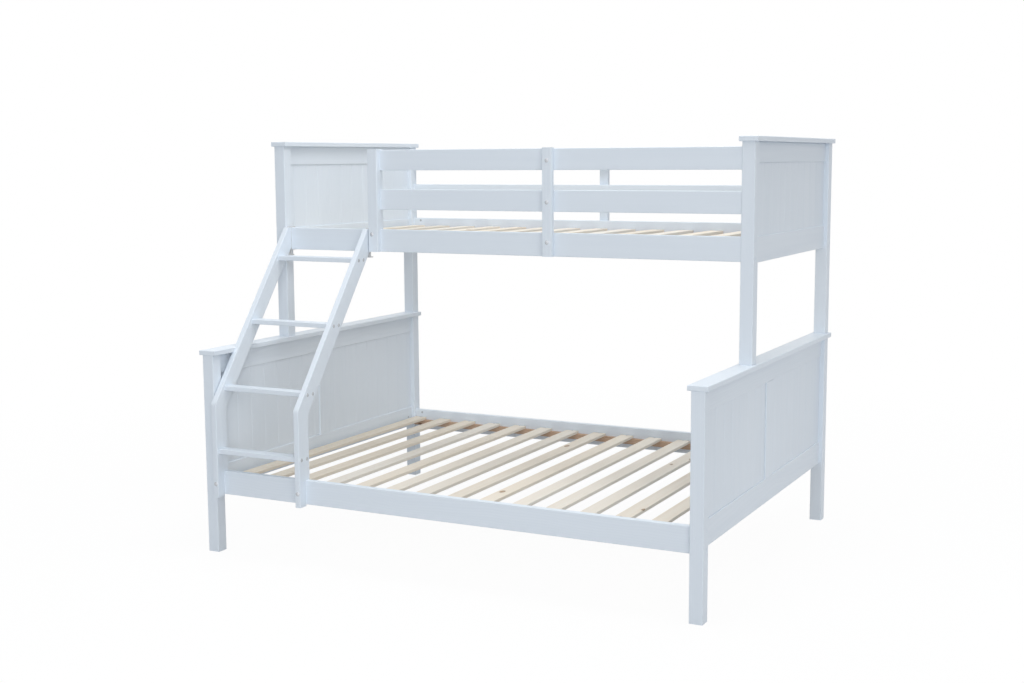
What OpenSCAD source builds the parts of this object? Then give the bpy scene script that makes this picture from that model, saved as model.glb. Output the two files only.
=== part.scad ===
// Bunk bed with a single bed over a double bed and a leaning ladder.
// X runs along the bed with the ladder end at minus X, minus Y is the ladder side and Z is up.
// The origin is on the floor under the middle of the whole bed. Sizes are in millimetres.

/* [Overall size] */
// Length over the posts
bed_length = 1980; // [1800:10:2300]
// Width of the lower bed over the posts
lower_width = 1500; // [1300:10:1900]
// Width of the upper bed over the posts
upper_width = 1020; // [850:10:1180]
// Side of each square post
post_w = 47; // [44:1:60]

/* [Heights above the floor] */
// Underside of the lower side rails
lower_rail_z = 225; // [120:5:280]
// Underside of the bottom rails in the lower ends
lower_end_rail_z = 238; // [140:1:290]
// Top of the lower posts, under the caps
lower_end_z = 754; // [680:2:820]
// Underside of the upper side rails
upper_rail_z = 1125; // [1050:5:1160]
// Underside of the bottom rails in the upper ends
upper_end_rail_z = 1118; // [1050:1:1160]
// Underside of the lower guard rails
lower_guard_z = 1287; // [1270:1:1320]
// Underside of the upper guard rails
upper_guard_z = 1437; // [1410:1:1440]
// Top of the upper posts, under the caps
upper_end_z = 1532; // [1520:2:1700]

/* [Side rails and guard rails] */
// Thickness of the side rails, guard rails and guard posts
rail_t = 22; // [20:1:28]
// Height of the lower side rails
lower_rail_h = 90; // [86:1:120]
// Height of the upper side rails
upper_rail_h = 86; // [86:1:110]
// Height of each guard rail
guard_rail_h = 78; // [60:1:80]
// Distance of the lower side rails behind the posts' outer faces
lower_rail_inset = 16; // [8:1:16]
// Distance of the upper side rails behind the posts' outer faces
upper_rail_inset = 4; // [0:1:10]
// Distance that the guard posts stand above the upper guard rails
guard_post_rise = 3; // [0:1:14]
// Width of the guard post beside the ladder
guard_end_w = 42; // [36:1:60]
// Width of the guard posts in the middle of the guard rails
guard_mid_w = 38; // [30:1:60]
// Distance of the guard rails' bolts below the rails' middle height
guard_bolt_drop = 4; // [0:1:10]
// Distance of the side rail's bolt above its middle height, on the posts in the middle
side_bolt_rise = 9; // [0:1:16]
// Distance of the bolt below the side rail's top, on the post beside the ladder
end_bolt_drop = 19; // [15:1:40]
// Distance of that bolt from the post's ladder edge
end_bolt_in = 15; // [10:1:20]

/* [Ends of the bed] */
// Thickness of the rails in the ends
frame_t = 19; // [18:1:24]
// Height of the bottom rails in the ends
end_rail_h = 90; // [80:1:110]
// Height of the top rails in the lower ends
lower_top_rail_h = 74; // [70:1:100]
// Height of the top rails in the upper ends
upper_top_rail_h = 72; // [70:1:90]
// Width of the upright between the lower panels
muntin_w = 85; // [60:1:120]
// Thickness of the panels
panel_t = 9; // [8:0.5:10]
// Width of one board of the panelling
panel_board_w = 85; // [60:1:120]
// Width of the V between two panel boards
vee_w = 3; // [2:0.5:8]
// Depth of the V between two panel boards
vee_depth = 0.8; // [0.4:0.1:3]
// Depth of the grooves that hold the panels
groove_depth = 10; // [8:1:10]
// Thickness of the caps
cap_t = 18; // [18:1:24]
// Overhang of the lower caps past both faces of the posts
lower_cap_side = 12; // [5:1:20]
// Overhang of the lower caps past the posts at each end
lower_cap_end = 4; // [2:1:15]
// Overhang of the upper caps past both faces of the posts
upper_cap_side = 10; // [5:1:20]
// Overhang of the upper caps past the posts at each end
upper_cap_end = 6; // [2:1:15]

/* [Slats] */
// Number of slats in each bed
slat_count = 15; // [10:1:18]
// Width of each slat
slat_w = 57; // [40:1:80]
// Thickness of each slat
slat_t = 12; // [10:1:14]
// Distance of the slats' tops below the side rails' tops
slat_drop = 33; // [31:1:36]
// Space between the first slat and the posts
slat_end_gap = 2; // [1:1:20]
// Space between a slat's end and the side rail
slat_side_gap = 3; // [1:1:6]
// Width of the ledgers that carry the slats
ledger_w = 20; // [18:1:30]
// Height of the ledgers
ledger_h = 24; // [20:1:24]
// Number of screws that hold each ledger
ledger_screw_count = 6; // [3:1:8]

/* [Ladder] */
// Width over the two stiles
ladder_w = 396; // [340:2:460]
// Space beside the ladder at each side
ladder_gap = 3; // [1:1:10]
// Thickness of each stile
stile_t = 22; // [20:1:28]
// Depth of a stile from its front edge to its back edge
stile_depth = 64; // [56:1:76]
// Wood of a stile in front of the lower side rail
stile_front = 38; // [30:1:46]
// Distance that the stiles reach below the lower side rail
foot_drop = 6; // [0:1:20]
// Height of the bend in the stiles' front edge
bend_z = 577; // [500:1:620]
// Radius of the rounded front at the bend
bend_round = 30; // [10:5:60]
// Distance that the stiles reach above the upper side rail
ladder_rise = 1; // [0:1:3]
// Depth of the stiles' flat top
stile_top_depth = 19; // [12:1:30]
// Height of the lowest tread's top above the floor
first_tread_z = 403; // [380:1:420]
// Rise from each tread to the next
tread_rise = 233.7; // [220:0.1:236]
// Thickness of each tread
tread_t = 18; // [16:1:24]
// Depth of each tread
tread_depth = 45; // [40:1:56]
// Distance between the two screws at each end of a tread
tread_screw_gap = 33; // [24:1:34]

/* [Ladder brackets] */
// Thickness of the steel strap
strap_t = 4; // [3:0.5:5]
// Width of the steel strap
strap_w = 20; // [16:1:20]
// Length of the lip behind the upper side rail
lip_drop = 12; // [8:1:16]
// Distance that the strap reaches below the upper side rail
strap_drop = 24; // [15:1:30]
// Distance of the upper bracket screw below the side rail's top
strap_screw_drop = 20; // [15:1:24]
// Distance between the two screws of a bracket
strap_screw_gap = 38; // [25:1:40]
// Length of the foot at the strap's lower end
strap_foot = 20; // [12:1:24]

/* [Fasteners] */
// Diameter of the bolts
bolt_d = 6; // [5:1:6]
// Length of the bed bolts below the head
bed_bolt_len = 78; // [76:1:84]
// Diameter of the bed bolts' heads
bed_bolt_head_d = 13; // [11:1:13]
// Thickness of the bed bolts' heads
bed_bolt_head_t = 4; // [3:0.5:5]
// Diameter of the bore for a bed bolt's head
head_bore_d = 15; // [14:1:16]
// Depth of the bore for a bed bolt's head
head_bore_depth = 12; // [11:1:14]
// Thickness of the plugs over the bed bolts
plug_t = 4; // [3:0.5:5]
// Distance of the plugs below the wood's face
plug_sink = 0.8; // [0:0.1:1.5]
// Diameter of the barrel nuts
barrel_d = 10; // [10:1:11]
// Length of the barrel nuts
barrel_len = 14; // [12:1:14]
// Distance of the barrel nuts from the joint
barrel_set = 35; // [25:1:36]
// Distance of a side rail's two bolts from its middle height
rail_bolt_spread = 32; // [31:1:32]
// Diameter of the dome heads on guard and ladder bolts
dome_d = 16; // [10:1:18]
// Height of the dome heads
dome_t = 3; // [2:0.5:4]
// Width across the flats of the hexagon sockets in the bolts and tread screws
key_w = 4; // [3:0.5:4]
// Depth of these sockets
key_depth = 2; // [1:0.5:2]
// Length of the threaded inserts
insert_len = 13; // [10:1:15]
// Diameter of the threaded inserts
insert_d = 10; // [9:1:10]
// Diameter of the screws that hold the treads
tread_screw_d = 5; // [4:1:5]
// Length of the screws that hold the treads
tread_screw_len = 50; // [40:1:60]
// Diameter of the tread screws' heads
tread_head_d = 14; // [8:1:16]
// Height of the tread screws' heads
tread_head_t = 2.5; // [2:0.5:4]
// Diameter of the wood screws
screw_d = 4; // [3.5:0.5:4.5]
// Diameter of the wood screws' heads
screw_head_d = 8; // [7:0.5:9]
// Height of the wood screws' tapered heads
screw_head_t = 3; // [2:0.5:3.5]
// Length of the slat screws
slat_screw_len = 30; // [25:1:32]
// Length of the ledger screws
ledger_screw_len = 35; // [30:1:38]
// Length of the screws that hold the ladder brackets
strap_screw_len = 22; // [16:1:26]
// Diameter of the wooden dowels
dowel_d = 8; // [6:1:8]
// Length of the wooden dowels
dowel_len = 28; // [24:1:30]
// Distance of a bottom rail's dowels from its middle height
bottom_dowel_spread = 26; // [20:1:26]
// Distance of a top rail's dowels from its middle height
top_dowel_spread = 20; // [12:1:20]
// Distance of a guard rail's dowels from its middle height
guard_dowel_spread = 20; // [10:1:22]
// Distance of the outer cap dowels from the posts
cap_dowel_in = 120; // [60:5:180]
// Diameter of the pins between the upper and the lower ends
pin_d = 10; // [8:1:10]
// Depth of these pins in each end
pin_depth = 40; // [30:1:45]

/* [Fits and eased edges] */
// Radius of the eased edges on posts, rails and caps
board_ease = 2.5; // [1:0.5:4]
// Radius of the eased edges on slats and ledgers
slat_ease = 1.5; // [0.5:0.5:3]
// Clearance of a bore around what it holds, on the diameter
bore_fit = 0.2; // [0.1:0.1:0.5]
// Clearance of a panel in its groove, on the thickness
panel_fit = 0.4; // [0.2:0.1:0.8]
// Room for a panel, dowel or pin at the blind end of its groove or bore
end_room = 1; // [0.5:0.5:2]
// Clearance behind the upper side rail, in the bracket's lip
lip_fit = 0.5; // [0.2:0.1:1]

/* [Hidden] */
$fn = 40;

// Number of treads, one node each
tread_count = 4;

LEFT = -1;
RIGHT = 1;
FRONT = -1;
REAR = 1;
LOWER = false;
UPPER = true;

// Distance that cutting shapes reach past the wood
over = 5;

// Places along the length
inner_x = bed_length / 2 - post_w;
function post_x(end) = end * (bed_length - post_w) / 2;
frame_inner_x = post_x(RIGHT) - frame_t / 2;

// Places across the width, before the origin moves under the middle of the bed
function outer_y(upper, face) =
    face == REAR ? lower_width / 2 : (upper ? lower_width / 2 - upper_width : -lower_width / 2);
function inner_y(upper, face) = outer_y(upper, face) - face * post_w;
function post_y(upper, face) = outer_y(upper, face) - face * post_w / 2;
function frame_span(upper) = inner_y(upper, REAR) - inner_y(upper, FRONT);
function frame_mid_y(upper) = (inner_y(upper, REAR) + inner_y(upper, FRONT)) / 2;
function rail_inset(upper) = upper ? upper_rail_inset : lower_rail_inset;
function rail_outer_y(upper, face) = outer_y(upper, face) - face * rail_inset(upper);
function rail_inner_y(upper, face) = rail_outer_y(upper, face) - face * rail_t;
function rail_mid_y(upper, face) = rail_outer_y(upper, face) - face * rail_t / 2;
function guard_post_y(face) = rail_outer_y(UPPER, face) + face * rail_t;

// Heights
function rail_z(upper) = upper ? upper_rail_z : lower_rail_z;
function rail_h(upper) = upper ? upper_rail_h : lower_rail_h;
function rail_top(upper) = rail_z(upper) + rail_h(upper);
function rail_mid_z(upper) = rail_z(upper) + rail_h(upper) / 2;
function end_rail_z(upper) = upper ? upper_end_rail_z : lower_end_rail_z;
function end_rail_top(upper) = end_rail_z(upper) + end_rail_h;
function end_rail_mid(upper) = end_rail_z(upper) + end_rail_h / 2;
function end_top(upper) = upper ? upper_end_z : lower_end_z;
function post_foot(upper) = upper ? lower_end_z + cap_t : 0;
function top_rail_h(upper) = upper ? upper_top_rail_h : lower_top_rail_h;
function top_rail_z(upper) = end_top(upper) - top_rail_h(upper);
function top_rail_mid(upper) = end_top(upper) - top_rail_h(upper) / 2;
function slat_top(upper) = rail_top(upper) - slat_drop;
function ledger_top(upper) = slat_top(upper) - slat_t;
guard_zs = [lower_guard_z, upper_guard_z];
guard_post_top = upper_guard_z + guard_rail_h + guard_post_rise;

// Slats, from the ladder end to the other
slat_pitch = (2 * (inner_x - slat_end_gap) - slat_w) / (slat_count - 1);
function slat_x(i) = -inner_x + slat_end_gap + slat_w / 2 + i * slat_pitch;
function ledger_mid_y(upper, face) = rail_inner_y(upper, face) - face * ledger_w / 2;
function ledger_screw_x(i) =
    slat_x(round(i * (slat_count - 2) / (ledger_screw_count - 1))) + slat_pitch / 2;

// Ladder, in the plane across the bed
ladder_x0 = -inner_x + ladder_gap;
ladder_x1 = ladder_x0 + ladder_w;
stile_front_y = rail_outer_y(LOWER, FRONT) - stile_front;
stile_foot_z = lower_rail_z - foot_drop;
stile_top_z = rail_top(UPPER) + ladder_rise;
stile_cut_y = rail_outer_y(UPPER, FRONT) - strap_t;
slope_run = stile_cut_y - stile_top_depth - stile_front_y;
slope_rise = stile_top_z - bend_z;
slope_angle = atan2(slope_run, slope_rise);
slope_len = norm([slope_run, slope_rise]);
stile_mid_y = stile_front_y + stile_depth / 2;
mid_bend_z = bend_z - stile_depth / 2 * tan(slope_angle / 2);
function stile_x(side) = side == LEFT ? ladder_x0 + stile_t / 2 : ladder_x1 - stile_t / 2;
function tread_z(i) = first_tread_z - tread_t / 2 + i * tread_rise;
function tread_y(i) = stile_mid_y + max(0, tread_z(i) - mid_bend_z) * tan(slope_angle);

// Guard posts along the length
guard_end_x0 = ladder_x1 + ladder_gap;
guard_end_x1 = guard_end_x0 + guard_end_w;
function guard_left_x(face) = face == FRONT ? guard_end_x1 : -inner_x;
function guard_mid_x(face) = (guard_left_x(face) + inner_x) / 2;

// The origin's place across the width: the middle between what reaches furthest on each side
front_limit = min(stile_front_y - dome_t, outer_y(LOWER, FRONT) - lower_cap_end);
rear_limit = max(
    guard_post_y(REAR) + dome_t,
    outer_y(LOWER, REAR) + max(lower_cap_end, upper_cap_end)
);
middle_y = (front_limit + rear_limit) / 2;

// Finishes, each with the move to the origin
module finished(shade) {
    color(shade) translate([0, -middle_y, 0]) children();
}
module painted() {
    finished([0.93, 0.94, 0.96]) children();
}
module pale_pine() {
    finished([0.88, 0.82, 0.72]) children();
}
module orange_pine() {
    finished([0.80, 0.62, 0.42]) children();
}
module steel() {
    finished([0.62, 0.63, 0.65]) children();
}

// Rectangle about the origin with eased corners
module eased(w, h, ease = board_ease) {
    square([w - 2 * ease, h], center = true);
    square([w, h - 2 * ease], center = true);
    for (x = [-1, 1], y = [-1, 1])
        translate([x * (w / 2 - ease), y * (h / 2 - ease)]) circle(ease);
}

// Boards between two corners, with the edges along their length eased
module board_x(a, b, ease = board_ease) {
    translate((a + b) / 2) rotate([90, 0, 90])
        linear_extrude(abs(b.x - a.x), center = true) eased(abs(b.y - a.y), abs(b.z - a.z), ease);
}
module board_y(a, b, ease = board_ease) {
    translate((a + b) / 2) rotate([90, 0, 0])
        linear_extrude(abs(b.y - a.y), center = true) eased(abs(b.x - a.x), abs(b.z - a.z), ease);
}
module board_z(a, b, ease = board_ease) {
    translate((a + b) / 2)
        linear_extrude(abs(b.z - a.z), center = true) eased(abs(b.x - a.x), abs(b.y - a.y), ease);
}
module block(a, b) {
    translate((a + b) / 2) cube([abs(b.x - a.x), abs(b.y - a.y), abs(b.z - a.z)], center = true);
}

// Fasteners and their bores. Each starts on the face that it enters and points along Z.
module key_socket() {
    translate([0, 0, -over]) cylinder(d = key_w / cos(30), h = over + key_depth, $fn = 6);
}
module bed_bolt() {
    translate([0, 0, head_bore_depth - bed_bolt_head_t]) difference() {
        union() {
            cylinder(d = bed_bolt_head_d, h = bed_bolt_head_t);
            cylinder(d = bolt_d, h = bed_bolt_len + bed_bolt_head_t);
        }
        key_socket();
    }
}
module bed_bolt_bore() {
    translate([0, 0, -over]) cylinder(d = head_bore_d, h = head_bore_depth + over);
    translate([0, 0, -over])
        cylinder(d = bolt_d + bore_fit, h = over + head_bore_depth + bed_bolt_len + end_room);
}
module plug() {
    translate([0, 0, plug_sink]) cylinder(d = head_bore_d - bore_fit, h = plug_t);
}
module dome_headed(d, rise, shaft_d, length) {
    radius = (d * d / 4 + rise * rise) / (2 * rise);
    difference() {
        union() {
            rotate_extrude() intersection() {
                translate([0, radius - rise]) circle(radius, $fn = 160);
                translate([0, -rise]) square([d / 2, rise]);
            }
            cylinder(d = shaft_d, h = length);
        }
        translate([0, 0, -rise]) key_socket();
    }
}
module dome_bolt(length) {
    dome_headed(dome_d, dome_t, bolt_d, length);
}
module insert(depth) {
    translate([0, 0, depth]) difference() {
        cylinder(d = insert_d, h = insert_len);
        translate([0, 0, -over]) cylinder(d = bolt_d + bore_fit, h = insert_len + 2 * over);
    }
}
module through_bore(depth) {
    translate([0, 0, -over]) cylinder(d = bolt_d + bore_fit, h = depth + 2 * over);
}
module insert_bore(depth) {
    translate([0, 0, depth - over]) cylinder(d = insert_d + bore_fit, h = over + insert_len + end_room);
}
module screw(length, fit = 0) {
    rotate_extrude() polygon([
        [0, 0], [(screw_head_d + fit) / 2, 0], [(screw_d + fit) / 2, screw_head_t],
        [(screw_d + fit) / 2, length + fit], [0, length + fit]
    ]);
}
module screw_bore(length) {
    screw(length, bore_fit);
    translate([0, 0, -over]) cylinder(d = screw_head_d + bore_fit, h = over);
}
module tread_screw() {
    dome_headed(tread_head_d, tread_head_t, tread_screw_d, tread_screw_len);
}
module tread_screw_bore() {
    translate([0, 0, -over]) cylinder(d = tread_screw_d + bore_fit, h = over + tread_screw_len + end_room);
}
module dowel() {
    cylinder(d = dowel_d, h = dowel_len, center = true);
}
module dowel_bore() {
    cylinder(d = dowel_d + bore_fit, h = dowel_len + 2 * end_room, center = true);
}

// Directions that a fastener can point in
module into_x(sign) {
    rotate([0, sign * 90, 0]) children();
}
module into_y(sign) {
    rotate([-sign * 90, 0, 0]) children();
}
module downwards() {
    rotate([180, 0, 0]) children();
}

// Places of the fasteners
module at_side_rail_bolts(upper, end, face) {
    for (s = [-1, 1])
        translate([end * bed_length / 2, rail_mid_y(upper, face), rail_mid_z(upper) + s * rail_bolt_spread])
            into_x(-end) children();
}
module at_end_rail_bolt(upper, end, face) {
    translate([post_x(end), outer_y(upper, face), end_rail_mid(upper)]) into_y(-face) children();
}
module at_side_rail_barrels(upper, end, face) {
    for (s = [-1, 1])
        translate([
            end * (inner_x - barrel_set), rail_inner_y(upper, face), rail_mid_z(upper) + s * rail_bolt_spread
        ]) into_y(face) children();
}
module at_end_rail_barrel(upper, end, face) {
    translate([end * frame_inner_x, inner_y(upper, face) - face * barrel_set, end_rail_mid(upper)])
        into_x(end) children();
}
module at_end_rail_dowels(upper, end, face) {
    for (s = [-1, 1])
        translate([post_x(end), inner_y(upper, face), end_rail_mid(upper) + s * bottom_dowel_spread])
            into_y(face) children();
}
module at_top_rail_dowels(upper, end, face) {
    for (s = [-1, 1])
        translate([post_x(end), inner_y(upper, face), top_rail_mid(upper) + s * top_dowel_spread])
            into_y(face) children();
}
module at_muntin_dowels(end, z) {
    for (s = [-1, 1])
        translate([post_x(end), frame_mid_y(LOWER) + s * muntin_w / 4, z]) children();
}
module at_cap_dowels(upper, end) {
    for (s = [-1, 0, 1])
        translate([
            post_x(end), frame_mid_y(upper) + s * (frame_span(upper) / 2 - cap_dowel_in), end_top(upper)
        ]) children();
}
module at_guard_dowels(x, face, z) {
    for (s = [-1, 1])
        translate([x, rail_mid_y(UPPER, face), z + guard_rail_h / 2 + s * guard_dowel_spread])
            into_x(RIGHT) children();
}
module at_pins(end) {
    for (face = [FRONT, REAR])
        translate([post_x(end), post_y(UPPER, face), lower_end_z - pin_depth]) children();
}
module at_slat_screws(upper) {
    for (i = [0 : slat_count - 1], face = [FRONT, REAR])
        translate([slat_x(i), ledger_mid_y(upper, face), slat_top(upper)]) downwards() children();
}
module at_ledger_screws(upper, face) {
    for (i = [0 : ledger_screw_count - 1])
        translate([
            ledger_screw_x(i), rail_inner_y(upper, face) - face * ledger_w, ledger_top(upper) - ledger_h / 2
        ]) into_y(face) children();
}
module at_mid_post_bolts(face) {
    guard_bolt_z = guard_rail_h / 2 - guard_bolt_drop;
    for (z = [rail_mid_z(UPPER) + side_bolt_rise, lower_guard_z + guard_bolt_z, upper_guard_z + guard_bolt_z])
        translate([guard_mid_x(face), guard_post_y(face), z]) into_y(-face) children();
}
module at_end_post_bolt() {
    translate([guard_end_x0 + end_bolt_in, guard_post_y(FRONT), rail_top(UPPER) - end_bolt_drop])
        into_y(-FRONT) children();
}
module at_stile_bolt(side) {
    translate([stile_x(side), stile_front_y, rail_mid_z(LOWER)]) into_y(-FRONT) children();
}
module at_tread_screws(i, side) {
    for (s = [-1, 1])
        translate([stile_x(side) + side * stile_t / 2, tread_y(i) + s * tread_screw_gap / 2, tread_z(i)])
            into_x(-side) children();
}
module at_strap_screws(side) {
    for (i = [0, 1])
        translate([
            stile_x(side), rail_outer_y(UPPER, FRONT),
            rail_top(UPPER) - strap_screw_drop - i * strap_screw_gap
        ]) into_y(FRONT) children();
}

// Bores for the barrel nuts, closed towards the seen face
module barrel_bore() {
    translate([0, 0, -over]) cylinder(d = barrel_d + bore_fit, h = over + barrel_len + 2 * end_room);
}
module barrel() {
    translate([0, 0, end_room]) cylinder(d = barrel_d, h = barrel_len);
}
module pin_bore() {
    translate([0, 0, -end_room])
        cylinder(d = pin_d + bore_fit, h = 2 * pin_depth + cap_t + 2 * end_room);
}

// Posts
module post(upper, end, face) {
    painted() difference() {
        board_z(
            [post_x(end) - post_w / 2, post_y(upper, face) - post_w / 2, post_foot(upper)],
            [post_x(end) + post_w / 2, post_y(upper, face) + post_w / 2, end_top(upper)]
        );
        at_side_rail_bolts(upper, end, face) bed_bolt_bore();
        at_end_rail_bolt(upper, end, face) bed_bolt_bore();
        at_end_rail_dowels(upper, end, face) dowel_bore();
        at_top_rail_dowels(upper, end, face) dowel_bore();
        at_pins(end) pin_bore();
        panel_grooves(upper, end);
        if (upper && (end == RIGHT || face == REAR))
            for (z = guard_zs) at_guard_dowels(end * inner_x, face, z) dowel_bore();
    }
}

// Space for the panels of one end, cut into posts, rails and muntin
module panel_grooves(upper, end) {
    block(
        [post_x(end) - (panel_t + panel_fit) / 2, inner_y(upper, FRONT) - groove_depth,
            end_rail_top(upper) - groove_depth],
        [post_x(end) + (panel_t + panel_fit) / 2, inner_y(upper, REAR) + groove_depth,
            top_rail_z(upper) + groove_depth]
    );
}

// Cross rails of the ends
module end_rail(upper, end, z0, z1) {
    board_y(
        [post_x(end) - frame_t / 2, inner_y(upper, FRONT), z0],
        [post_x(end) + frame_t / 2, inner_y(upper, REAR), z1]
    );
}
module top_rail(upper, end) {
    painted() difference() {
        end_rail(upper, end, top_rail_z(upper), end_top(upper));
        panel_grooves(upper, end);
        for (face = [FRONT, REAR]) at_top_rail_dowels(upper, end, face) dowel_bore();
        at_cap_dowels(upper, end) dowel_bore();
        if (!upper) {
            at_pins(end) pin_bore();
            at_muntin_dowels(end, top_rail_z(LOWER)) dowel_bore();
        }
    }
}
module bottom_rail(upper, end) {
    painted() difference() {
        end_rail(upper, end, end_rail_z(upper), end_rail_top(upper));
        panel_grooves(upper, end);
        for (face = [FRONT, REAR]) {
            at_end_rail_dowels(upper, end, face) dowel_bore();
            at_end_rail_bolt(upper, end, face) bed_bolt_bore();
            at_end_rail_barrel(upper, end, face) barrel_bore();
        }
        if (!upper) at_muntin_dowels(end, end_rail_top(LOWER)) dowel_bore();
    }
}
module muntin(end) {
    mid = frame_mid_y(LOWER);
    painted() difference() {
        board_z(
            [post_x(end) - frame_t / 2, mid - muntin_w / 2, end_rail_top(LOWER)],
            [post_x(end) + frame_t / 2, mid + muntin_w / 2, top_rail_z(LOWER)]
        );
        for (side = [-1, 1])
            block(
                [post_x(end) - (panel_t + panel_fit) / 2, mid + side * (muntin_w / 2 + over), 0],
                [post_x(end) + (panel_t + panel_fit) / 2, mid + side * (muntin_w / 2 - groove_depth),
                    lower_end_z]
            );
        at_muntin_dowels(end, end_rail_top(LOWER)) dowel_bore();
        at_muntin_dowels(end, top_rail_z(LOWER)) dowel_bore();
    }
}

// Panel between two seen edges, with a V between each two boards on both faces
module panel(upper, end, y0, y1) {
    tongue = groove_depth - end_room;
    span = y1 - y0;
    vees = floor(span / panel_board_w) + 1;
    height = top_rail_z(upper) - end_rail_top(upper) + 2 * tongue;
    painted() translate([post_x(end), (y0 + y1) / 2, end_rail_top(upper) - tongue])
        linear_extrude(height) difference() {
            square([panel_t, span + 2 * tongue], center = true);
            for (i = [0 : vees - 1], face = [-1, 1])
                translate([face * panel_t / 2, (i - (vees - 1) / 2) * panel_board_w])
                    polygon([
                        [face, -vee_w / 2], [0, -vee_w / 2], [-face * vee_depth, 0],
                        [0, vee_w / 2], [face, vee_w / 2]
                    ]);
        }
}
module lower_panel(end, face) {
    edges = [frame_mid_y(LOWER) + face * muntin_w / 2, inner_y(LOWER, face)];
    panel(LOWER, end, min(edges), max(edges));
}
module upper_panel(end) {
    panel(UPPER, end, inner_y(UPPER, FRONT), inner_y(UPPER, REAR));
}

// Caps on the ends, eased along their length and round their ends
module cap(upper, end) {
    side = upper ? upper_cap_side : lower_cap_side;
    reach = upper ? upper_cap_end : lower_cap_end;
    width = post_w + 2 * side;
    length = outer_y(upper, REAR) - outer_y(upper, FRONT) + 2 * reach;
    middle = [post_x(end), (outer_y(upper, REAR) + outer_y(upper, FRONT)) / 2, end_top(upper) + cap_t / 2];
    painted() difference() {
        translate(middle) intersection() {
            rotate([90, 0, 0]) linear_extrude(length, center = true) eased(width, cap_t);
            rotate([90, 0, 90]) linear_extrude(width, center = true) eased(length, cap_t);
        }
        at_cap_dowels(upper, end) dowel_bore();
        if (!upper) at_pins(end) pin_bore();
    }
}

// Side rails, the ledgers on them and the slats
module side_rail(upper, face) {
    painted() difference() {
        board_x(
            [-inner_x, rail_outer_y(upper, face), rail_z(upper)],
            [inner_x, rail_inner_y(upper, face), rail_top(upper)]
        );
        for (end = [LEFT, RIGHT]) {
            at_side_rail_bolts(upper, end, face) bed_bolt_bore();
            at_side_rail_barrels(upper, end, face) barrel_bore();
        }
        at_ledger_screws(upper, face) screw_bore(ledger_screw_len);
        if (upper) at_mid_post_bolts(face) insert_bore(rail_t);
        if (upper && face == FRONT) at_end_post_bolt() insert_bore(rail_t);
        if (!upper && face == FRONT)
            for (side = [LEFT, RIGHT]) at_stile_bolt(side) insert_bore(stile_front);
    }
}
module ledger(upper, face) {
    end_gap = slat_end_gap / 2;
    inner = rail_inner_y(upper, face);
    orange_pine() difference() {
        board_x(
            [-inner_x + end_gap, inner, ledger_top(upper) - ledger_h],
            [inner_x - end_gap, inner - face * ledger_w, ledger_top(upper)],
            slat_ease
        );
        at_ledger_screws(upper, face) screw_bore(ledger_screw_len);
        at_slat_screws(upper) screw_bore(slat_screw_len);
    }
}
module slats(upper) {
    pale_pine() difference() {
        for (i = [0 : slat_count - 1])
            board_y(
                [slat_x(i) - slat_w / 2, rail_inner_y(upper, FRONT) + slat_side_gap, ledger_top(upper)],
                [slat_x(i) + slat_w / 2, rail_inner_y(upper, REAR) - slat_side_gap, slat_top(upper)],
                slat_ease
            );
        at_slat_screws(upper) screw_bore(slat_screw_len);
    }
}

// Guard rails and their posts
module guard_rail(face, z) {
    painted() difference() {
        board_x(
            [guard_left_x(face), rail_outer_y(UPPER, face), z],
            [inner_x, rail_inner_y(UPPER, face), z + guard_rail_h]
        );
        for (x = [guard_left_x(face), inner_x]) at_guard_dowels(x, face, z) dowel_bore();
        at_mid_post_bolts(face) insert_bore(rail_t);
    }
}
module guard_mid_post(face) {
    painted() difference() {
        board_z(
            [guard_mid_x(face) - guard_mid_w / 2, guard_post_y(face), upper_rail_z],
            [guard_mid_x(face) + guard_mid_w / 2, rail_outer_y(UPPER, face), guard_post_top]
        );
        at_mid_post_bolts(face) through_bore(rail_t);
    }
}
module guard_end_post() {
    painted() difference() {
        board_z(
            [guard_end_x0, guard_post_y(FRONT), upper_rail_z],
            [guard_end_x1, rail_inner_y(UPPER, FRONT), guard_post_top]
        );
        block(
            [guard_end_x0 - over, rail_outer_y(UPPER, FRONT), upper_rail_z - over],
            [guard_end_x1 + over, rail_inner_y(UPPER, FRONT) + over, rail_top(UPPER)]
        );
        for (z = guard_zs) at_guard_dowels(guard_end_x1, FRONT, z) dowel_bore();
        at_end_post_bolt() through_bore(rail_t);
    }
}

// Ladder. A stile is two boards mitred at the bend, drawn about the bend of its front edge,
// and the front is rounded there.
// Each board laps a hair over the mitre, so that the two make one solid.
mitre_lap = 0.2;
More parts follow.
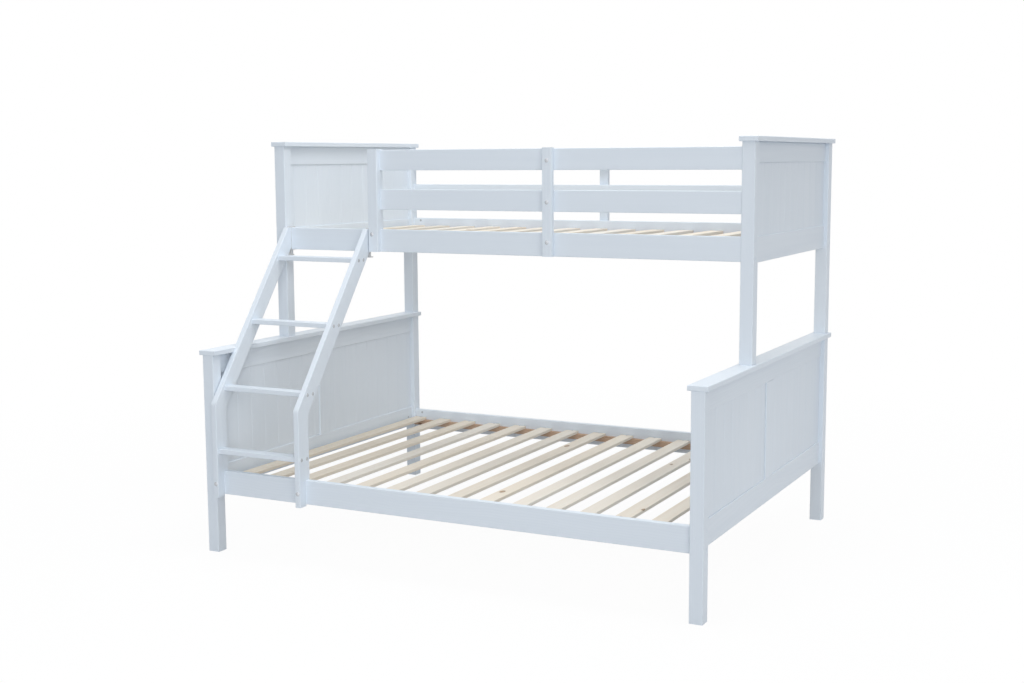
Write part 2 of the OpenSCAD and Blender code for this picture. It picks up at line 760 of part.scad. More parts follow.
// The rounding at the bend starts this hair outside the front faces
round_lap = 0.05;
module stile_board(z0, z1) {
    translate([0, stile_depth / 2, z0]) linear_extrude(z1 - z0) eased(stile_t, stile_depth);
}
module mitre_side(way) {
    reach = slope_len + bend_z;
    rotate([-slope_angle / 2, 0, 0])
        block([-stile_t, -reach, -way * mitre_lap], [stile_t, reach, way * reach]);
}
module bend_corner() {
    half = tan(slope_angle / 2);
    middle = [bend_round, -bend_round * half];
    rotate([90, 0, 90]) linear_extrude(2 * stile_t, center = true) difference() {
        polygon([
            middle, [-over, middle.y], [-over, over * half],
            [-middle.y * sin(slope_angle) - over * cos(slope_angle),
                -middle.y * cos(slope_angle) + over * sin(slope_angle)]
        ]);
        translate(middle) circle(bend_round + round_lap, $fn = 160);
    }
}
module stile(side) {
    painted() difference() {
        translate([stile_x(side), stile_front_y, bend_z]) difference() {
            union() {
                intersection() {
                    stile_board(-bend_z, stile_depth);
                    mitre_side(-1);
                }
                intersection() {
                    rotate([-slope_angle, 0, 0]) stile_board(-stile_depth, slope_len + stile_depth);
                    mitre_side(1);
                }
            }
            bend_corner();
        }
        stile_trims(side);
        at_stile_bolt(side) through_bore(stile_front);
        at_strap_screws(side) screw_bore(strap_screw_len);
        for (i = [0 : tread_count - 1]) at_tread_screws(i, side) tread_screw_bore();
    }
}
// What is sawn off a stile: below the foot, over the side rail, at the top and against the bracket
module stile_trims(side) {
    x0 = stile_x(side) - stile_t;
    x1 = stile_x(side) + stile_t;
    far = stile_cut_y + 2 * stile_depth;
    block([x0, stile_front_y - over, -over], [x1, far, stile_foot_z]);
    block([x0, rail_outer_y(LOWER, FRONT), -over], [x1, 0, rail_top(LOWER)]);
    block([x0, stile_front_y, stile_top_z], [x1, far, stile_top_z + 3 * stile_depth]);
    block([x0, stile_cut_y, bend_z], [x1, far, stile_top_z + 3 * stile_depth]);
}
module tread(i) {
    painted() difference() {
        board_x(
            [ladder_x0 + stile_t, tread_y(i) - tread_depth / 2, tread_z(i) - tread_t / 2],
            [ladder_x1 - stile_t, tread_y(i) + tread_depth / 2, tread_z(i) + tread_t / 2]
        );
        for (side = [LEFT, RIGHT]) at_tread_screws(i, side) tread_screw_bore();
    }
}
module ladder_bracket(side) {
    y0 = rail_outer_y(UPPER, FRONT);
    y1 = rail_inner_y(UPPER, FRONT) + lip_fit;
    z0 = upper_rail_z - strap_drop;
    z1 = rail_top(UPPER);
    x = stile_x(side) - strap_w / 2;
    difference() {
        translate([x, 0, 0]) rotate([90, 0, 90]) linear_extrude(strap_w) polygon([
            [y0 - strap_t, z0], [y0 + strap_foot - strap_t, z0], [y0 + strap_foot - strap_t, z0 + strap_t],
            [y0, z0 + strap_t], [y0, z1], [y1, z1], [y1, z1 - lip_drop], [y1 + strap_t, z1 - lip_drop],
            [y1 + strap_t, z1 + strap_t], [y0 - strap_t, z1 + strap_t]
        ]);
        at_strap_screws(side) screw_bore(strap_screw_len);
    }
}
module ladder_brackets() {
    steel() for (side = [LEFT, RIGHT]) ladder_bracket(side);
}

// Fasteners, one node for each kind
module frame_bolts() {
    steel() for (upper = [LOWER, UPPER], end = [LEFT, RIGHT], face = [FRONT, REAR]) {
        at_side_rail_bolts(upper, end, face) bed_bolt();
        at_end_rail_bolt(upper, end, face) bed_bolt();
    }
}
module barrel_nuts() {
    steel() for (upper = [LOWER, UPPER], end = [LEFT, RIGHT], face = [FRONT, REAR]) difference() {
        union() {
            at_side_rail_barrels(upper, end, face) barrel();
            at_end_rail_barrel(upper, end, face) barrel();
        }
        at_side_rail_bolts(upper, end, face) bed_bolt_bore();
        at_end_rail_bolt(upper, end, face) bed_bolt_bore();
    }
}
module bolt_plugs() {
    painted() for (upper = [LOWER, UPPER], end = [LEFT, RIGHT], face = [FRONT, REAR]) {
        at_side_rail_bolts(upper, end, face) plug();
        at_end_rail_bolt(upper, end, face) plug();
    }
}
module guard_bolts() {
    steel() {
        for (face = [FRONT, REAR]) at_mid_post_bolts(face) {
            dome_bolt(rail_t + insert_len);
            insert(rail_t);
        }
        at_end_post_bolt() {
            dome_bolt(rail_t + insert_len);
            insert(rail_t);
        }
    }
}
module ladder_bolts() {
    steel() for (side = [LEFT, RIGHT]) {
        at_stile_bolt(side) {
            dome_bolt(stile_front + insert_len);
            insert(stile_front);
        }
        at_strap_screws(side) screw(strap_screw_len);
        for (i = [0 : tread_count - 1]) at_tread_screws(i, side) tread_screw();
    }
}
module frame_dowels() {
    pale_pine() {
        for (upper = [LOWER, UPPER], end = [LEFT, RIGHT]) {
            for (face = [FRONT, REAR]) {
                at_end_rail_dowels(upper, end, face) dowel();
                at_top_rail_dowels(upper, end, face) dowel();
            }
            at_cap_dowels(upper, end) dowel();
        }
        for (end = [LEFT, RIGHT], z = [end_rail_top(LOWER), top_rail_z(LOWER)])
            at_muntin_dowels(end, z) dowel();
        for (face = [FRONT, REAR], x = [guard_left_x(face), inner_x], z = guard_zs)
            at_guard_dowels(x, face, z) dowel();
    }
}
module stacking_pins() {
    steel() for (end = [LEFT, RIGHT]) at_pins(end) cylinder(d = pin_d, h = 2 * pin_depth + cap_t);
}
module wood_screws() {
    steel() for (upper = [LOWER, UPPER]) {
        at_slat_screws(upper) screw(slat_screw_len);
        for (face = [FRONT, REAR]) at_ledger_screws(upper, face) screw(ledger_screw_len);
    }
}

post(LOWER, LEFT, FRONT);  // lower_front_left_post
post(LOWER, RIGHT, FRONT);  // lower_front_right_post
post(LOWER, LEFT, REAR);  // lower_rear_left_post
post(LOWER, RIGHT, REAR);  // lower_rear_right_post
cap(LOWER, LEFT);  // lower_left_cap
cap(LOWER, RIGHT);  // lower_right_cap
top_rail(LOWER, LEFT);  // lower_left_top_rail
top_rail(LOWER, RIGHT);  // lower_right_top_rail
bottom_rail(LOWER, LEFT);  // lower_left_bottom_rail
bottom_rail(LOWER, RIGHT);  // lower_right_bottom_rail
muntin(LEFT);  // lower_left_muntin
muntin(RIGHT);  // lower_right_muntin
lower_panel(LEFT, FRONT);  // lower_left_front_panel
lower_panel(LEFT, REAR);  // lower_left_rear_panel
lower_panel(RIGHT, FRONT);  // lower_right_front_panel
lower_panel(RIGHT, REAR);  // lower_right_rear_panel
side_rail(LOWER, FRONT);  // lower_front_side_rail
side_rail(LOWER, REAR);  // lower_rear_side_rail
ledger(LOWER, FRONT);  // lower_front_ledger
ledger(LOWER, REAR);  // lower_rear_ledger
slats(LOWER);  // lower_slats
post(UPPER, LEFT, FRONT);  // upper_front_left_post
post(UPPER, RIGHT, FRONT);  // upper_front_right_post
post(UPPER, LEFT, REAR);  // upper_rear_left_post
post(UPPER, RIGHT, REAR);  // upper_rear_right_post
cap(UPPER, LEFT);  // upper_left_cap
cap(UPPER, RIGHT);  // upper_right_cap
top_rail(UPPER, LEFT);  // upper_left_top_rail
top_rail(UPPER, RIGHT);  // upper_right_top_rail
bottom_rail(UPPER, LEFT);  // upper_left_bottom_rail
bottom_rail(UPPER, RIGHT);  // upper_right_bottom_rail
upper_panel(LEFT);  // upper_left_panel
upper_panel(RIGHT);  // upper_right_panel
side_rail(UPPER, FRONT);  // upper_front_side_rail
side_rail(UPPER, REAR);  // upper_rear_side_rail
ledger(UPPER, FRONT);  // upper_front_ledger
ledger(UPPER, REAR);  // upper_rear_ledger
slats(UPPER);  // upper_slats
guard_rail(FRONT, upper_guard_z);  // front_upper_guard_rail
guard_rail(FRONT, lower_guard_z);  // front_lower_guard_rail
guard_rail(REAR, upper_guard_z);  // rear_upper_guard_rail
guard_rail(REAR, lower_guard_z);  // rear_lower_guard_rail
guard_end_post();  // front_guard_end_post
guard_mid_post(FRONT);  // front_guard_mid_post
guard_mid_post(REAR);  // rear_guard_mid_post
stile(LEFT);  // ladder_left_stile
stile(RIGHT);  // ladder_right_stile
tread(0);  // ladder_tread_1
tread(1);  // ladder_tread_2
tread(2);  // ladder_tread_3
tread(3);  // ladder_tread_4
ladder_brackets();
frame_bolts();
barrel_nuts();
bolt_plugs();
guard_bolts();
ladder_bolts();
frame_dowels();
stacking_pins();
wood_screws();
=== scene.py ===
# %% [markdown]
# # A painted pine bunk bed
#
# The bed is a single bed over a double bed, with a leaning ladder. Its boards, bolts and screws
# come ready made from the packed CAD model. A board is an object of its own, while the slats of a
# bed share one, and so do bolts or screws of a kind. Their shapes stay as they are. This lesson
# gives them what the drawing can't: the grain of the pine, the paint over it, the bare wood of the
# slats, the shine of the steel, and the light of a photo studio.

import math

import bpy
import numpy as np
from mathutils import Matrix, Vector


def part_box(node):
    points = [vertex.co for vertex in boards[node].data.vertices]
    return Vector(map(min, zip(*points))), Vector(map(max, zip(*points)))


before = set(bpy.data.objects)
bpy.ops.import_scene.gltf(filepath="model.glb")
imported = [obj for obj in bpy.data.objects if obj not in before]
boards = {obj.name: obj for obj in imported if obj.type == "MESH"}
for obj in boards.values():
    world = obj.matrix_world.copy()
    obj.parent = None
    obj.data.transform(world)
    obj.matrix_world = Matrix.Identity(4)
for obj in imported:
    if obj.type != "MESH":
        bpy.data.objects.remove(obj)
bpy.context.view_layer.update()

# %% [markdown]
# ## The camera
#
# The photograph was taken from the front right, from just below the height of the bed's top. The
# camera's place was found by matching corners of the posts, rails and caps in the picture with the
# same corners in the drawing. A camera could be turned by hand until the two look alike, but a
# position, three angles and a lens say it exactly, and anyone can check them. The angles are the
# compass direction round the bed, the height above the horizon, and a slight tilt.

# %% Camera at the photograph's viewing angle
PHOTO_WIDTH, PHOTO_HEIGHT = 1024, 683
AZIMUTH, ELEVATION, TILT = math.radians(27.0707), math.radians(7.4076), math.radians(-0.3335)
CAMERA_AT = Vector((2.4078, -4.8427, 1.4739))
FOCAL_PIXELS = 1396.45


def camera_axes(azimuth, elevation, tilt):
    """Right, up and backwards of a camera that circles the Z axis from -Y towards +X.

    back = (sin a cos e, -cos a cos e, sin e); right lies level; up is back x right; then right and
    up turn about back by the tilt."""
    back = Vector(
        (
            math.sin(azimuth) * math.cos(elevation),
            -math.cos(azimuth) * math.cos(elevation),
            math.sin(elevation),
        )
    )
    level = Vector((math.cos(azimuth), math.sin(azimuth), 0))
    up = back.cross(level)
    right = level * math.cos(tilt) + up * math.sin(tilt)
    return right, back.cross(right), back


lens = bpy.data.cameras.new("studio_camera")
lens.sensor_fit = "HORIZONTAL"
lens.lens = FOCAL_PIXELS / PHOTO_WIDTH * lens.sensor_width
camera = bpy.data.objects.new("studio_camera", lens)
camera.matrix_world = Matrix.Translation(CAMERA_AT) @ Matrix(
    camera_axes(AZIMUTH, ELEVATION, TILT)
).transposed().to_4x4()
bpy.context.scene.collection.objects.link(camera)
bpy.context.scene.camera = camera
print(f"lens {lens.lens:.1f} mm, photograph {PHOTO_WIDTH} x {PHOTO_HEIGHT}")

# %% [markdown]
# ## A finish, node by node
#
# Every finish here is a small tree of nodes that ends in one Principled shader. Building a tree by
# hand in the editor would be just as good, but a script needs short words for it. A `Tree` puts
# down one node for each call and hands back what comes out of it, so that a pattern reads like a
# sum. A `Finish` is the tree of one material.


# %% A helper for node trees
class Tree:
    """A tree of nodes. Each call adds a node and returns its output, ready to go into the next."""

    def __init__(self, tree):
        self.tree = tree

    def put(self, socket, value):
        if isinstance(value, bpy.types.NodeSocket):
            self.tree.links.new(value, socket)
        else:
            socket.default_value = value

    def add(self, kind, inputs, output=0, **settings):
        made = self.tree.nodes.new(kind)
        for key, value in settings.items():
            setattr(made, key, value)
        for key, value in inputs.items():
            self.put(made.inputs[key], value)
        return made.outputs[output]

    def math(self, operation, *values):
        return self.add("ShaderNodeMath", dict(enumerate(values)), operation=operation)

    def vector(self, operation, *values, output=0):
        return self.add(
            "ShaderNodeVectorMath", dict(enumerate(values)), output, operation=operation
        )

    def parts(self, vector):
        split = self.tree.nodes.new("ShaderNodeSeparateXYZ")
        self.put(split.inputs[0], vector)
        return list(split.outputs)

    def joined(self, x, y, z):
        return self.add("ShaderNodeCombineXYZ", {0: x, 1: y, 2: z})

    def step(self, value, low, high, to_low=0.0, to_high=1.0):
        """Goes smoothly from to_low, where value is low, to to_high, where it is high."""
        return self.add(
            "ShaderNodeMapRange",
            {
                "Value": value,
                "From Min": low,
                "From Max": high,
                "To Min": to_low,
                "To Max": to_high,
            },
            interpolation_type="SMOOTHSTEP",
        )

    def mix(self, share, a, b, blend="MIX"):
        return self.add(
            "ShaderNodeMix", {0: share, 6: a, 7: b}, 2, data_type="RGBA", blend_type=blend
        )

    def noise(self, vector, scale, detail=2.0, seed=0.0, output=0):
        return self.add(
            "ShaderNodeTexNoise",
            {"Vector": vector, "W": seed, "Scale": scale, "Detail": detail},
            output,
            noise_dimensions="4D",
        )

    def place(self):
        return self.add("ShaderNodeTexCoord", {}, "Object")


class Finish(Tree):
    """The tree of one material, with its Principled shader."""

    def __init__(self, name):
        self.material = bpy.data.materials.new(name)
        self.material.use_nodes = True
        super().__init__(self.material.node_tree)
        self.shader = self.tree.nodes["Principled BSDF"]


print("a finish is built with", [n for n in vars(Tree) if not n.startswith("_")])

# %% [markdown]
# ## Wood as a solid
#
# A board is cut from a log, and its face shows where the saw met the growth rings. So the pattern
# is worked out in the solid and not drawn on the faces: the end of a board then shows arcs, its
# faces show lines and pointed arches, and they meet at the edges by themselves. A picture of wood
# laid on each face would be quicker, but it would break at every edge.
#
# The log's heart is a line along the board that drifts slowly from side to side. A point's ring is
# its distance from that line, divided by the width of one year's growth. Within a year the wood is
# pale at first and darkens towards a hard line. Where a branch grew there is a knot, and the rings
# bend round it.

# %% Growth rings, fibres and knots
YEAR = 0.0036


class Wood:
    """The pattern of pine at a point given along the board, across it and through it, in metres."""

    def __init__(
        self, f, along, across, through, seed, heart, year=YEAR, drift=0.022, knotty=0.38
    ):
        """ring = (|(across, through) - heart + wander| + 7 mm in the middle of a knot) / year.

        The wander changes slowly along the board, by the drift at most each way. Knotty is the
        share of the cells that have a knot."""
        point = f.joined(along, across, through)
        slow = f.vector("MULTIPLY", point, (1.3, 3.0, 3.0))
        wander = f.vector("SUBTRACT", f.noise(slow, 1.0, 3.0, seed, "Color"), (0.5, 0.5, 0.5))
        wander = f.vector("MULTIPLY", wander, (0.0, 2 * drift, 2 * drift))
        from_heart = f.vector(
            "ADD", f.vector("SUBTRACT", f.joined(0.0, across, through), heart), wander
        )
        radius = f.vector("LENGTH", from_heart, output="Value")
        self.knots(f, point, seed, knotty)
        radius = f.math("MULTIPLY_ADD", self.near_knot, 0.007, radius)
        ring = f.math("FRACT", f.math("DIVIDE", radius, year))
        rise = f.step(ring, 0.35, 0.92)
        self.late = f.math("MULTIPLY", rise, f.step(ring, 0.94, 1.0, 1.0, 0.0))
        self.fibre = f.noise(f.vector("MULTIPLY", point, (6.0, 420.0, 420.0)), 1.0, 2.0, seed)
        self.streak = f.noise(f.vector("MULTIPLY", point, (1.6, 55.0, 55.0)), 1.0, 3.0, seed)

    def knots(self, f, point, seed, knotty):
        """A knot is a blob about a cell's own point, longer along the grain, in some cells."""
        cell = f.vector(
            "ADD",
            f.vector("MULTIPLY", point, (7.5, 13.0, 13.0)),
            f.joined(f.math("MULTIPLY", seed, 3.7), 0.0, 0.0),
        )
        voronoi = f.tree.nodes.new("ShaderNodeTexVoronoi")
        f.put(voronoi.inputs["Vector"], cell)
        voronoi.inputs["Scale"].default_value = 1.0
        apart = voronoi.outputs["Distance"]
        chosen = f.math("GREATER_THAN", f.parts(voronoi.outputs["Color"])[0], 1 - knotty)
        self.near_knot = f.math("MULTIPLY", chosen, f.step(apart, 0.0, 0.42, 1.0, 0.0))
        self.knot = f.math("MULTIPLY", chosen, f.step(apart, 0.10, 0.15, 1.0, 0.0))
        self.knot_edge = f.math("MULTIPLY", self.knot, f.step(apart, 0.06, 0.12))


print("rings are", YEAR * 1000, "mm apart")

# %% [markdown]
# ## Satin paint over pine
#
# The posts, rails, panels, caps and ladder are sprayed white, in a cool white with a satin sheen.
# Paint hides the colour of the wood but follows its surface, so the hard lines of the grain stand
# up a few hundredths of a millimetre, and resin tints the paint slightly over the knots. The wood
# pattern therefore drives a bump and only a trace of colour. A plain white with a random bump would
# be simpler, and it would look like plastic.
#
# The grain runs along each board, so the finish comes in one version for each direction. The
# panels are sanded finer than the frames round them, and their grain tells half as much.

# %% Painted pine
PAINT = (0.772, 0.836, 0.905, 1)
PAINT_OVER_LATE = (0.742, 0.808, 0.880, 1)
PAINT_OVER_KNOT = (0.72, 0.765, 0.81, 1)


def along_axes(f, direction):
    """The object's place as (along, across, through) for a board that runs in x, y or z."""
    x, y, z = f.parts(f.place())
    return {"x": (x, y, z), "y": (y, x, z), "z": (z, y, x)}[direction]


def paint_over(f, wood, telling=1.0):
    """Satin white over wood: a trace of its tint and its relief, both stronger when telling is."""
    colour = f.mix(f.math("MULTIPLY", wood.late, 0.55 * telling), PAINT, PAINT_OVER_LATE)
    streaks = f.step(wood.streak, 0.35, 0.7, 0.25 - 0.25 * telling, 0.25 + 0.25 * telling)
    colour = f.mix(streaks, colour, PAINT_OVER_LATE)
    colour = f.mix(f.math("MULTIPLY", wood.knot, 0.25), colour, PAINT_OVER_KNOT)
    f.put(f.shader.inputs["Base Color"], colour)
    f.put(f.shader.inputs["Roughness"], f.step(wood.streak, 0.2, 0.8, 0.36, 0.46))
    relief = f.math("MULTIPLY_ADD", wood.late, 0.6, f.math("MULTIPLY", wood.fibre, 0.25))
    relief = f.math("SUBTRACT", relief, f.math("MULTIPLY", wood.knot_edge, 0.5))
    peel = f.noise(f.place(), 700.0, 1.0)
    relief = f.math("MULTIPLY_ADD", peel, 0.25, relief)
    bump = {"Strength": 0.35 * telling, "Distance": 0.00025, "Height": relief}
    f.put(f.shader.inputs["Normal"], f.add("ShaderNodeBump", bump))
    return f.material


def painted_pine(name, direction, seed, heart, telling=1.0):
    """Paint over boards whose grain runs in the direction of x, y or z."""
    f = Finish(f"painted_pine_{name}")
    along, across, through = along_axes(f, direction)
    return paint_over(f, Wood(f, along, across, through, seed, heart, knotty=0.12), telling)


painted = {
    "x": painted_pine("along_x", "x", 3.0, (0.0, 0.21, 0.62)),
    "y": painted_pine("along_y", "y", 5.0, (0.0, 0.31, 0.44)),
    "z": painted_pine("along_z", "z", 8.0, (0.0, 0.12, 0.33)),
    "panel": painted_pine("of_the_panels", "z", 8.0, (0.0, 0.12, 0.33), telling=0.5),
}
print("painted pine in", len(painted), "versions")

# %% [markdown]
# The ladder's stiles bend at knee height: two boards joined by a mitre. The lower one stands
# upright and the upper one leans, and the grain follows each. Two materials could share the
# stile's faces between them, but one finish can tell the two boards apart by itself: it turns the
# pattern where a point lies above the plane of the mitre.

# %% Painted pine of the stiles
stile_low, stile_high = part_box("ladder_left_stile")
BEND_HEIGHT = 0.577
STILE_TOP_DEPTH = 0.019
BETWEEN_THE_STILES = -0.7
slope_run = stile_high.y - STILE_TOP_DEPTH - stile_low.y
LEAN = math.atan2(slope_run, stile_high.z - BEND_HEIGHT)


def stile_paint():
    """Above the mitre the place is turned back about the bend by the lean: both boards run up."""
    f = Finish("painted_pine_of_the_stiles")
    bend = (0.0, stile_low.y, BEND_HEIGHT)
    here = f.vector("SUBTRACT", f.place(), bend)
    turned = f.add("ShaderNodeMapping", {"Vector": here, "Rotation": (LEAN, 0.0, 0.0)})
    over = f.vector(
        "DOT_PRODUCT", here, (0.0, math.sin(LEAN / 2), math.cos(LEAN / 2)), output="Value"
    )
    upper = f.math("GREATER_THAN", over, 0.0)
    mixed = f.add("ShaderNodeMix", {0: upper, 4: here, 5: turned}, 1, data_type="VECTOR")
    x, y, z = f.parts(mixed)
    right = f.math("GREATER_THAN", x, BETWEEN_THE_STILES)
    seed = f.math("MULTIPLY_ADD", upper, 4.0, f.math("MULTIPLY", right, 7.0))
    return paint_over(f, Wood(f, z, y, x, seed, (0.0, 0.09, -0.52), knotty=0.12))


painted["stile"] = stile_paint()
print(f"the upper boards lean {math.degrees(LEAN):.1f} degrees")

# %% [markdown]
# ## The slats
#
# Thirty bare slats carry the mattresses. They are sawn from different logs, so some are creamy and
# some greyer or more golden, and a few have knots. All fifteen slats of a bed are one object here.
# Separate objects would make it easy to vary them, but the slats lie at an even spacing, so a point
# can tell which slat it is in: its number is its place along the bed divided by the spacing,
# rounded. That number then picks the slat's colour and its place in the log.

# %% Where the slats lie
SLAT_COUNT = 15
SLAT_WIDTH = 0.057
slats_low, slats_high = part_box("lower_slats")
FIRST_SLAT = slats_low.x + SLAT_WIDTH / 2
SLAT_SPACING = (slats_high.x - slats_low.x - SLAT_WIDTH) / (SLAT_COUNT - 1)
UPPER_SLATS_ABOVE = 0.8
UPPER_SLATS_HIGHER_BY = 0.896
LOWER_SLATS_AT = 0.27
FIRST_UPPER_NUMBER = 40.0
print(f"slats {SLAT_SPACING * 1000:.1f} mm apart")


# %% Bare pine of the slats
def bare_pine(f, wood, cream, amber, knot_colour, tone):
    """Bare wood: cream early wood, amber late wood, streaks, fibres, brown knots, times a tone."""
    colour = f.mix(f.math("MULTIPLY", wood.late, 0.55), cream, amber)
    colour = f.mix(f.step(wood.streak, 0.3, 0.75, 0.0, 0.45), colour, amber)
    colour = f.mix(f.math("MULTIPLY", wood.near_knot, 0.35), colour, amber)
    colour = f.mix(wood.knot, colour, knot_colour)
    colour = f.mix(f.math("MULTIPLY", wood.knot_edge, 0.5), colour, (0.12, 0.06, 0.03, 1))
    colour = f.mix(f.step(wood.fibre, 0.25, 0.75, 0.0, 0.16), colour, amber)
    colour = f.mix(1.0, colour, tone, "MULTIPLY")
    f.put(f.shader.inputs["Base Color"], colour)
    f.put(f.shader.inputs["Roughness"], f.step(wood.late, 0.0, 1.0, 0.66, 0.52))
    relief = f.math("MULTIPLY_ADD", wood.late, 0.5, wood.fibre)
    bump = f.add("ShaderNodeBump", {"Strength": 0.5, "Distance": 0.0003, "Height": relief})
    f.put(f.shader.inputs["Normal"], bump)
    return f.material


def slat_pine():
    """number = round((x - first) / spacing), plus a first upper number in the upper bed."""
    f = Finish("bare_pine_of_the_slats")
    x, y, z = f.parts(f.place())
    number = f.math("ROUND", f.math("DIVIDE", f.math("SUBTRACT", x, FIRST_SLAT), SLAT_SPACING))
    across = f.math("SUBTRACT", x, f.math("MULTIPLY_ADD", number, SLAT_SPACING, FIRST_SLAT))
    upper = f.math("GREATER_THAN", z, UPPER_SLATS_ABOVE)
    number = f.math("MULTIPLY_ADD", upper, FIRST_UPPER_NUMBER, number)
    chance = f.tree.nodes.new("ShaderNodeTexWhiteNoise")
    chance.noise_dimensions = "1D"
    f.put(chance.inputs["W"], f.math("ADD", number, 0.37))
    warm, bright, aside = f.parts(chance.outputs["Color"])
    heart = f.joined(
        0.0,
        f.math("MULTIPLY_ADD", aside, 0.16, -0.08),
        f.math("MULTIPLY_ADD", bright, 0.12, -0.02),
    )
    through = f.math("SUBTRACT", z, f.math("MULTIPLY", upper, UPPER_SLATS_HIGHER_BY))
    through = f.math("SUBTRACT", through, LOWER_SLATS_AT)
    seed = f.math("MULTIPLY", number, 1.7)
    wood = Wood(f, y, across, through, seed, heart, year=0.0032, drift=0.012, knotty=0.12)
    tone = f.mix(warm, (0.99, 1.0, 1.01, 1), (1.0, 0.965, 0.91, 1))
    tone = f.mix(f.math("MULTIPLY", bright, 0.09), tone, (0.0, 0.0, 0.0, 1))
    cream, amber, knot_colour = (0.91, 0.865, 0.79, 1), (0.83, 0.74, 0.62, 1), (0.45, 0.30, 0.18, 1)
    return bare_pine(f, wood, cream, amber, knot_colour, tone)


slat_finish = slat_pine()
print(slat_finish.name)

# %% [markdown]
# ## The ledgers
#
# The strips that carry the slats are screwed to the inside of the side rails. They are bare too,
# and could share the slats' finish, but where they show between the slats they are orange brown, as
# wood from the resinous heart of a log is. So they have tints of their own. The dowels are beech,
# whose rings are finer, and lie hidden in the joints.

# %% Bare pine of the ledgers and dowels
f = Finish("bare_pine_of_the_ledgers")
x, y, z = f.parts(f.place())
wood = Wood(f, x, y, z, 21.0, (0.0, 0.2, 0.5))
cream, amber, knot_colour = (0.62, 0.45, 0.33, 1), (0.48, 0.30, 0.19, 1), (0.20, 0.11, 0.06, 1)
ledger_finish = bare_pine(f, wood, cream, amber, knot_colour, (1, 1, 1, 1))
f = Finish("bare_beech_of_the_dowels")
x, y, z = f.parts(f.place())
wood = Wood(f, y, x, z, 33.0, (0.0, 0.4, 0.3), year=0.0015)
cream, amber, knot_colour = (0.66, 0.52, 0.38, 1), (0.58, 0.42, 0.28, 1), (0.3, 0.18, 0.1, 1)
dowel_finish = bare_pine(f, wood, cream, amber, knot_colour, (1, 1, 1, 1))
print(ledger_finish.name, dowel_finish.name)

# %% [markdown]
# ## Zinc on steel
#
# The bolts, screws and ladder hooks are plated with zinc: grey, fairly bright, and slightly uneven
# where the plating took. A plain grey would do from afar, but a metal's colour is what it reflects.
# So the shader is fully metallic, and one cloud of noise varies its tint and how sharp the
# reflection is. The hooks get painted light: their steel is a little brighter, because they hang
# in the shade of the side rail, and their feet are still a pale grey in the photograph.

# %% Plated steel
def plated_steel(name, dull, bright):
    """A metal that is dull or bright, smooth or rough, by a cloud of noise, and finely brushed."""
    f = Finish(name)
    cloud = f.noise(f.place(), 260.0, 3.0)
    f.put(f.shader.inputs["Base Color"], f.mix(cloud, dull, bright))
    f.put(f.shader.inputs["Roughness"], f.step(cloud, 0.3, 0.7, 0.58, 0.70))
    f.put(f.shader.inputs["Metallic"], 1.0)
    brushed = f.noise(f.vector("MULTIPLY", f.place(), (1.0, 1.0, 9.0)), 900.0, 1.0)
    bump = f.add("ShaderNodeBump", {"Strength": 0.25, "Distance": 0.0001, "Height": brushed})
    f.put(f.shader.inputs["Normal"], bump)
    return f.material


steel_finish = plated_steel("plated_steel", (0.50, 0.52, 0.55, 1), (0.60, 0.62, 0.65, 1))
# Painted light: the hooks' steel is a lighter copy, to lift the shade under the side rail.
hook_steel_painted_lighter = plated_steel(
    "plated_steel_of_the_hooks_painted_lighter", (0.62, 0.63, 0.64, 1), (0.72, 0.73, 0.74, 1)
)
print(steel_finish.name, hook_steel_painted_lighter.name)

# %% [markdown]
# ## Which finish goes where
#
# Each node's name says what it is, so a few words in the name choose the finish and the direction
# of its grain. A list of all sixty names would do the same, but a slip in it would be hard to see.
# The order of the lines matters: the first with a word that fits wins.

# %% Give every node its finish
FINISHES = [
    (("brackets",), hook_steel_painted_lighter),
    (("bolts", "nuts", "pins", "screws"), steel_finish),
    (("dowels",), dowel_finish),
    (("slats",), slat_finish),
    (("ledger",), ledger_finish),
    (("stile",), painted["stile"]),
    (("side_rail", "guard_rail", "tread"), painted["x"]),
    (("top_rail", "bottom_rail", "cap", "plugs"), painted["y"]),
    (("panel",), painted["panel"]),
    (("post", "muntin"), painted["z"]),
]
for name, board in boards.items():
    fits = next(finish for words, finish in FINISHES if any(word in name for word in words))
    board.data.materials.clear()
    board.data.materials.append(fits)
for _, finish in FINISHES:
    print(finish.name, "on", sum(b.data.materials[0] == finish for b in boards.values()), "nodes")

# %% [markdown]
# ## The studio
#
# The photograph shows the bed against pure white, and its shadows are soft and short. The white
# behind the bed isn't made by more light, which would bleach the paint: the floor and the
# surroundings are simply white to the camera and to what mirrors them, while the bed is lit at a
# plain level. For the light that falls on the bed the same floor is grey. A white one would light
# the undersides as brightly as the tops, and the thin shadows under the caps and rails would go.
# Near the bed the floor also keeps a little of its own shading, so that the bed casts a shadow.

# %% Floor
FLOOR_HALF = 14.0
floor_mesh = bpy.data.meshes.new("studio_floor")
corners = np.array([[-1, -1, 0], [1, -1, 0], [1, 1, 0], [-1, 1, 0]]) * FLOOR_HALF
floor_mesh.from_pydata(corners.tolist(), [], [[0, 1, 2, 3]])
floor = bpy.data.objects.new("studio_floor", floor_mesh)
bpy.context.scene.collection.objects.link(floor)


def seen_or_mirrored(tree):
    """1 for a ray from the camera, or one mirrored by or passed through the object."""
    path = tree.tree.nodes.new("ShaderNodeLightPath")
    seen = tree.math("MAXIMUM", path.outputs["Is Camera Ray"], path.outputs["Is Glossy Ray"])
    return tree.math("MAXIMUM", seen, path.outputs["Is Transmission Ray"])


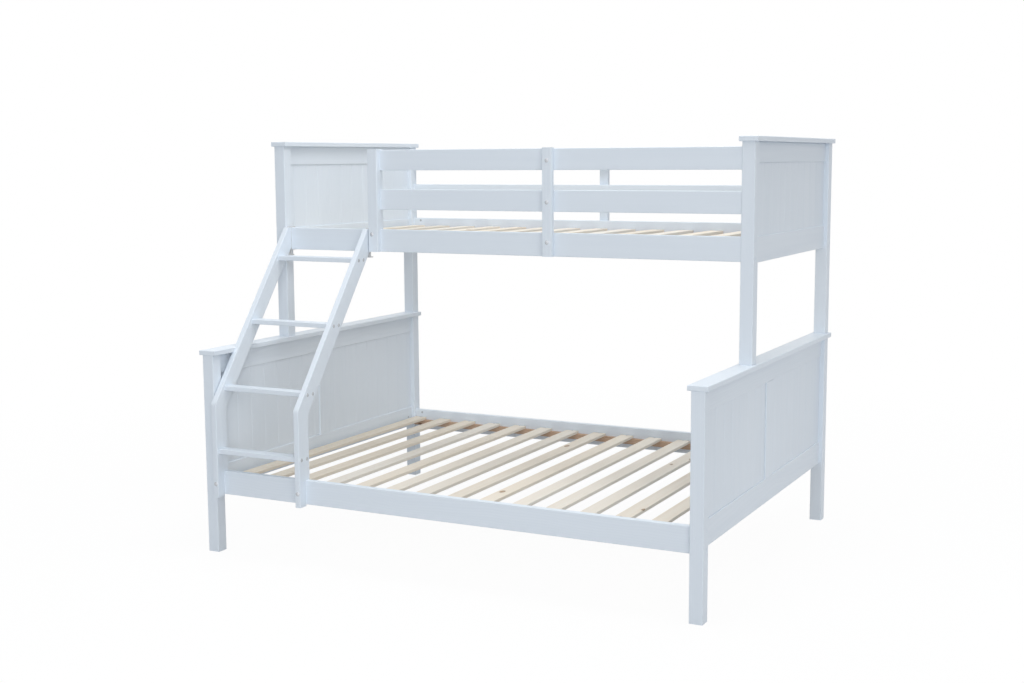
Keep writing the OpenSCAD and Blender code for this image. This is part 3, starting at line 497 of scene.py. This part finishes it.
f = Finish("white_floor")
FLOOR_SEEN, FLOOR_FELT = (0.95, 0.95, 0.95, 1), (0.50, 0.507, 0.52, 1)
WHITE = (1, 1, 1, 1)
from_bed = f.vector("LENGTH", f.place(), output="Value")
seen = seen_or_mirrored(f)
f.put(f.shader.inputs["Base Color"], f.mix(seen, FLOOR_FELT, FLOOR_SEEN))
f.put(f.shader.inputs["Roughness"], 0.9)
glow = f.add("ShaderNodeEmission", {"Color": WHITE, "Strength": 1.0})
share = f.math("MULTIPLY", seen, f.step(from_bed, 1.2, 4.5, 0.95, 1.0))
both = f.add("ShaderNodeMixShader", {0: share, 1: f.shader.outputs[0], 2: glow})
f.put(f.tree.nodes["Material Output"].inputs["Surface"], both)
floor_mesh.materials.append(f.material)
print("floor", 2 * FLOOR_HALF, "m square")

# %% [markdown]
# The room's own light comes mostly from the ceiling: its brightness in a direction is the height
# of that direction, and nothing at the horizon or below. The same light from every side would be
# simpler, but it would leave hardly any shade under the rails.

# %% Surroundings
AMBIENT = (0.90, 0.93, 0.96, 1)
world = bpy.data.worlds.new("white_room")
bpy.context.scene.world = world
world.use_nodes = True
room = Tree(world.node_tree)
height = room.parts(room.add("ShaderNodeTexCoord", {}, "Generated"))[2]
above = room.math("MAXIMUM", height, 0.0)
soft = room.add("ShaderNodeBackground", {"Color": AMBIENT, "Strength": above})
white = room.add("ShaderNodeBackground", {"Color": WHITE, "Strength": 1.0})
both = room.add("ShaderNodeMixShader", {0: seen_or_mirrored(room), 1: soft, 2: white})
room.put(room.tree.nodes["World Output"].inputs["Surface"], both)
print(world.name, "with a ceiling of", AMBIENT[:3])

# %% [markdown]
# A low soft sun from the front right and a box in front light the fronts evenly, a box overhead
# brightens the caps, and a small one at the right end's foot lifts its panels. Most of these
# strengths were found by rendering the bed under each lamp alone and solving for the sum closest
# to the photograph, which is quicker than turning every knob by eye. A second sun, behind the bed
# on the left, was added last. The photograph hardly shows it, but it keeps the back from going
# dull, and it stays clear of the directions that the caps and panels mirror towards the camera.


# %% Lamps
def lamp(name, kind, at, towards, power, **settings):
    """A lamp at a place, facing a point. Area lamps give watts, a sun watts a square metre."""
    light = bpy.data.lights.new(name, kind)
    light.energy = power
    for key, value in settings.items():
        setattr(light, key, value)
    made = bpy.data.objects.new(name, light)
    made.location = at
    made.rotation_euler = (Vector(towards) - Vector(at)).to_track_quat("-Z", "Y").to_euler()
    bpy.context.scene.collection.objects.link(made)
    return made


SOFT = {"angle": math.radians(40)}
MIDDLE = (0, 0, 0.8)


def box(wide, deep):
    """The settings of a rectangular area lamp, in metres."""
    return {"shape": "RECTANGLE", "size": wide, "size_y": deep}


lamp("key", "SUN", (4.0, -4.8, 2.15), MIDDLE, 0.85, **SOFT)
lamp("back_light", "SUN", (-4.6, 2.2, 2.2), MIDDLE, 0.55, **SOFT)
lamp("box_overhead", "AREA", (0.6, -0.5, 4.2), (0.2, 0, 0.8), 53, **box(2.4, 1.6))
lamp("box_in_front", "AREA", (0.5, -3.4, 0.9), (-0.6, 0, 0.7), 11.5, **box(1.6, 1.2))
lamp("box_at_the_right_end", "AREA", (2.4, -0.3, 0.25), (0.95, 0, 0.45), 2.0, **box(1.0, 0.4))
bpy.context.scene.view_settings.view_transform = "Standard"

# %% [markdown]
# ## Sizes and the end
#
# Nothing here changes the bed's size.
